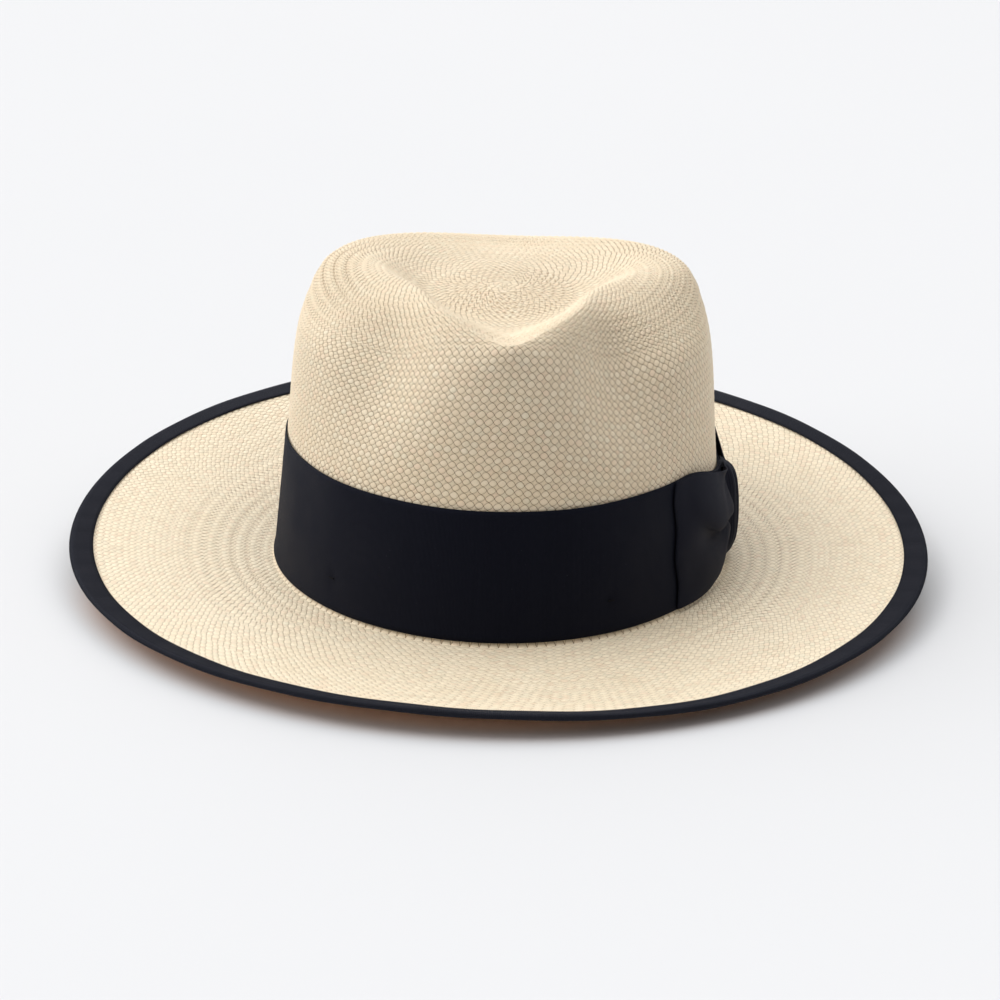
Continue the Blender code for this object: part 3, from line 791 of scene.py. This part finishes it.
def binding_path(a, b):
    """Ribbon folded over the straw's edge, from its underside round to the top."""
    t = oval_angle(a)
    lift = STRAW / 2 + CLEAR + BIND_CLOTH / 2
    flat = BIND_WIDTH - lift - BIND_CLOTH / 2
    whole = 2 * flat + np.pi * lift
    d = b * whole
    over = d - flat - np.pi * lift
    turn = np.clip((d - flat) / lift, 0, np.pi)
    back = np.where(d < flat, flat - d, np.maximum(over, 0))    # in from the straw's edge
    x0, y0 = (HEAD_X + FOOT) * np.cos(t), (HEAD_Y + FOOT) * np.sin(t)
    span = np.hypot(EDGE_X * np.cos(t) - x0, EDGE_Y * np.sin(t) - y0)
    up = straw_normal(t, 0 * t)
    e = 1e-3
    along = brim_point(t + e, 1.0) - brim_point(t - e, 1.0)
    out = np.cross(along, up)
    out /= np.linalg.norm(out, axis=-1, keepdims=True)
    m = back / span
    surface, normal = straw_point(t, m), straw_normal(t, m)
    mid = surface - normal * STRAW / 2
    ripple = BIND_RIPPLE * np.sin(23 * t + 4 * b) * np.abs(np.cos(turn))
    return (mid - normal * ((lift + ripple) * np.cos(turn))[..., None]
            + out * (lift * np.sin(turn))[..., None])


def make_binding(mat):
    obj = ribbon("edge_binding", binding_path, 6600, 12, BIND_CLOTH, mat, BIND_LONG, BIND_FLAT,
                 EDGE_RIB, closed=True, rib_high=EDGE_RIB_HIGH)
    dress(obj, "binding_ribbon", "brim_binding")


def smooth_line(points, share):
    """Point at a share of the way along a smooth line through points."""
    points = np.asarray(points, float)
    padded = np.vstack([2 * points[0] - points[1], points, 2 * points[-1] - points[-2]])
    at = np.clip(share, 0, 1) * (len(points) - 1)
    k = np.minimum(np.floor(at).astype(int), len(points) - 2)
    f = (at - k)[..., None]
    p0, p1, p2, p3 = padded[k], padded[k + 1], padded[k + 2], padded[k + 3]
    return 0.5 * (2 * p1 + (p2 - p0) * f + (2 * p0 - 5 * p1 + 4 * p2 - p3) * f ** 2
                  + (3 * p1 - p0 - 3 * p2 + p3) * f ** 3)


def bow_point(along, high, stand):
    """Point over the band: distance from the knot, height from its middle, stand-off."""
    t = along * bow_turn()
    z = break_z(t) + BAND_FOOT + BAND_HIGH / 2 + high
    return wall_point(t, z, CLEAR + BAND_CLOTH + stand)


# sections of the bow, bottom to top, as share of its half height and stand-off in mm: under the knot,
# close beside it, then where the cloth lies in folds, and further out, where one crease is left
TIGHT = ((-1.0, 0.6), (-0.88, 2.4), (-0.6, 4.4), (-0.2, 5.1), (0.2, 5.3), (0.55, 5.1), (0.85, 3.6),
         (1.0, 1.0))
RECESS = ((-1.0, 0.5), (-0.8, 1.1), (-0.4, 1.7), (0.0, 1.5), (0.4, 1.9), (0.8, 1.4), (1.0, 1.8))
FOLDED = ((-1.0, 0.8), (-0.84, 1.5), (-0.60, 2.3), (-0.40, 3.2), (-0.22, 3.6), (-0.10, 2.3),
          (-0.03, 1.0), (0.05, 1.9), (0.02, 3.8), (0.09, 5.1), (0.24, 5.1), (0.45, 3.8), (0.66, 2.0),
          (0.86, 2.4), (1.0, 3.6))
CREASED = ((-1.0, 0.6), (-0.90, 1.9), (-0.72, 3.0), (-0.52, 3.6), (-0.34, 3.1), (-0.20, 1.9),
           (-0.11, 0.9), (-0.03, 1.7), (-0.05, 3.6), (0.06, 5.0), (0.34, 4.9), (0.74, 3.4), (1.0, 2.2))
# each section with the share of the way out where it starts to give way, and where it is gone
SECTIONS = ((CREASED, 0.45, 0.90), (FOLDED, 0.17, 0.42), (RECESS, 0.07, 0.17), (TIGHT, 0.0, 0.06))
BOW_GAP = 0.55 * MM           # the inner layer's stand-off from the band


def bow_path(a, b):
    """Flattened ring of ribbon: the outer layer from fold to fold, and back along the band."""
    held = KNOT_WIDE / 2
    theta = 2 * np.pi * a
    along = -BOW_HALF * np.cos(theta)
    outer = np.sin(theta) > 0
    open_share = np.clip((np.abs(along) - held) / (BOW_HALF - held), 0, 1)
    flat_high = 2 * b - 1
    across = np.sin(np.pi * np.clip(b, 0.02, 0.98)) ** 0.5
    puff = 1.0 + 2.2 * np.sin(np.pi * open_share) ** 1.2 * across
    section = np.stack([flat_high, puff + 0.3 * np.sin(7 * b + 5 * open_share) * open_share], -1)
    for line, start, end in SECTIONS:
        share = ease(open_share, start, end)[..., None]
        if line in (RECESS, FOLDED):                # behind the knot the cloth lies plainer
            share = np.maximum(share, ease(along, 0, KNOT_WIDE)[..., None])
        section = smooth_line(line, b) * (1 - share) + section * share
    fold = np.sqrt(np.clip(1 - (np.abs(along) / BOW_HALF) ** 16, 0, 1))
    stand = BOW_GAP + np.where(outer, section[..., 1] * MM * fold, 0)
    high = drawn_in(along, np.where(outer, section[..., 0], flat_high) * BOW_TALL)
    wander = (0.7 * np.sin(14.5 * b + 2.0) + 0.3 * np.sin(4.0 * b)) * MM * open_share ** 3
    return bow_point(along + wander * np.sign(along), high, stand)


def make_bow(mat):
    obj = ribbon("bow_ring", bow_path, 300, 84, BOW_CLOTH, mat, BOW_LONG, 2 * BOW_TALL, FINE_RIB,
                 closed=True)
    dress(obj, "bow_ribbon", "bow_loops")


# the knot from its lower end to its upper end: height and stand-off in mm
KNOT_LINE = ((-23.2, 0.6), (-22.6, 1.4), (-20.6, 3.2), (-16.0, 5.2), (-9.5, 6.2), (-3.0, 6.6),
             (2.0, 6.6), (6.5, 6.3), (9.6, 5.3), (11.4, 3.6), (12.2, 1.8), (12.6, 0.7))


def knot_path(a, b):
    """Strap over the bow's waist, narrower in its middle and lightly creased along."""
    line = smooth_line(KNOT_LINE, a)
    middle = np.sin(np.pi * np.clip(a, 0, 1))
    wide = KNOT_WIDE * (1 - 0.22 * middle)
    crease = (0.30 * np.cos(2 * np.pi * 2.5 * b + 3 * a) - KNOT_ROUND * np.abs(2 * b - 1) ** 3) * middle
    return bow_point(wide * (0.5 - b), line[..., 0] * MM, (line[..., 1] + crease) * MM)


def make_knot(mat):
    obj = ribbon("bow_wrap", knot_path, 120, 40, BOW_CLOTH, mat, KNOT_LONG, KNOT_WIDE, FINE_RIB)
    dress(obj, "bow_ribbon", "bow_knot")


def paint(node, mat):
    """Gives a CAD piece that stays its real material."""
    obj = bpy.data.objects[node]
    obj.data.materials.clear()
    obj.data.materials.append(mat)


# ---------------------------------------------------------------- stage

def make_camera():
    azimuth, elevation = math.radians(VIEW_AZIMUTH), math.radians(VIEW_ELEVATION)
    target = Vector(VIEW_TARGET)
    roll = math.radians(VIEW_ROLL)
    back = Vector((math.sin(azimuth) * math.cos(elevation), -math.cos(azimuth) * math.cos(elevation),
                   math.sin(elevation)))
    level = Vector((math.cos(azimuth), math.sin(azimuth), 0))
    upright = back.cross(level)
    right = level * math.cos(roll) + upright * math.sin(roll)
    up = upright * math.cos(roll) - level * math.sin(roll)
    data = bpy.data.cameras.new("camera")
    data.sensor_width = SENSOR
    data.lens = LENS
    data.clip_start, data.clip_end = CLIP_START, CLIP_END
    cam = bpy.data.objects.new("camera", data)
    bpy.context.scene.collection.objects.link(cam)
    rotation = Matrix((right, up, back)).transposed().to_4x4()
    cam.matrix_world = Matrix.Translation(target + back * VIEW_DISTANCE) @ rotation
    bpy.context.scene.camera = cam


def sun(name, toward, angle, power, colour):
    """Wide soft light from the direction toward, the same all over the floor."""
    data = bpy.data.lights.new(name, "SUN")
    data.angle = math.radians(angle)
    data.energy = power
    data.color = colour
    lamp = bpy.data.objects.new(name, data)
    lamp.rotation_mode = "QUATERNION"
    lamp.rotation_quaternion = Vector(toward).to_track_quat("Z", "Y")
    bpy.context.scene.collection.objects.link(lamp)


def floor_material():
    """Plain white, with a warm glow painted on it under the front of the brim, standing in for the warm
    light that passes through the straw.
    """
    s = Shader("floor")
    where = s.place()
    pale = s.mix(s.noise(where, 1.5), *STAGE_PALE)
    oval = s.add("VectorMath", {0: where, 1: (1 / EDGE_X, 1 / EDGE_Y, 0.0)}, operation="MULTIPLY")
    away = s.add("VectorMath", {0: oval}, out=1, operation="LENGTH")
    in_front = s.step(s.split(oval)[1], -0.05, -0.45)
    # painted light: the floor is tinted warm in its front half under the brim
    painted_glow = s.sum("MULTIPLY", s.step(away, 1.04, 0.90), in_front)
    return s.finish(s.mix(painted_glow, pale, STAGE_PAINTED_GLOW), 0.7, Specular_IOR_Level=0.1)


def make_stage():
    half = STAGE_HALF
    verts = [(-half, -half, 0), (half, -half, 0), (half, half, 0), (-half, half, 0)]
    floor = new_object("floor", verts, [(0, 1, 2, 3)], floor_material())
    world = bpy.data.worlds.new("studio")
    world.use_nodes = True
    back = world.node_tree.nodes["Background"]
    back.inputs[0].default_value = (*SKY, 1)
    back.inputs[1].default_value = SKY_POWER
    bpy.context.scene.world = world
    for lamp in SUNS:
        sun(*lamp)
    bpy.context.scene.view_settings.view_transform = "Standard"


def main():
    make_camera()
    make_stage()
    # the crown's straw carries painted shade, the brim's painted light
    crown_straw_shaded = straw_material("crown_straw_shaded", *CROWN_LOOK_SHADED)
    brim_straw_lit = straw_material("brim_straw_lit", *BRIM_LOOK_LIT)
    brim, crown = brim_zones(), crown_zones()
    for name, zones, fine, relief, lift, flip, mat in (
            ("straw_brim_top", brim, FINE, BRIM_RELIEF, 0.0, False, brim_straw_lit),
            ("straw_crown", crown, FINE, CROWN_RELIEF, 0.0, False, crown_straw_shaded),
            ("straw_brim_under", brim, COARSE, BRIM_RELIEF, -STRAW, True, brim_straw_lit),
            ("straw_crown_inside", crown, COARSE, BRIM_RELIEF, -STRAW, True, crown_straw_shaded)):
        bake_map(woven(name, zones, fine, relief, lift, flip, mat))

    make_band(ribbon_material("black_grosgrain", *BAND_BLACK))
    make_binding(ribbon_material("navy_grosgrain", *BIND_NAVY))
    bow = ribbon_material("bow_grosgrain", *BOW_BLACK)
    make_bow(bow)
    make_knot(bow)
    thread = thread_material()
    for node, mat in (("band_tack_left", thread), ("band_tack_right", thread),
                      ("sweatband", leather_material()), ("reed_tape", tape_material()),
                      ("sweatband_reed", reed_material())):
        paint(node, mat)


main()
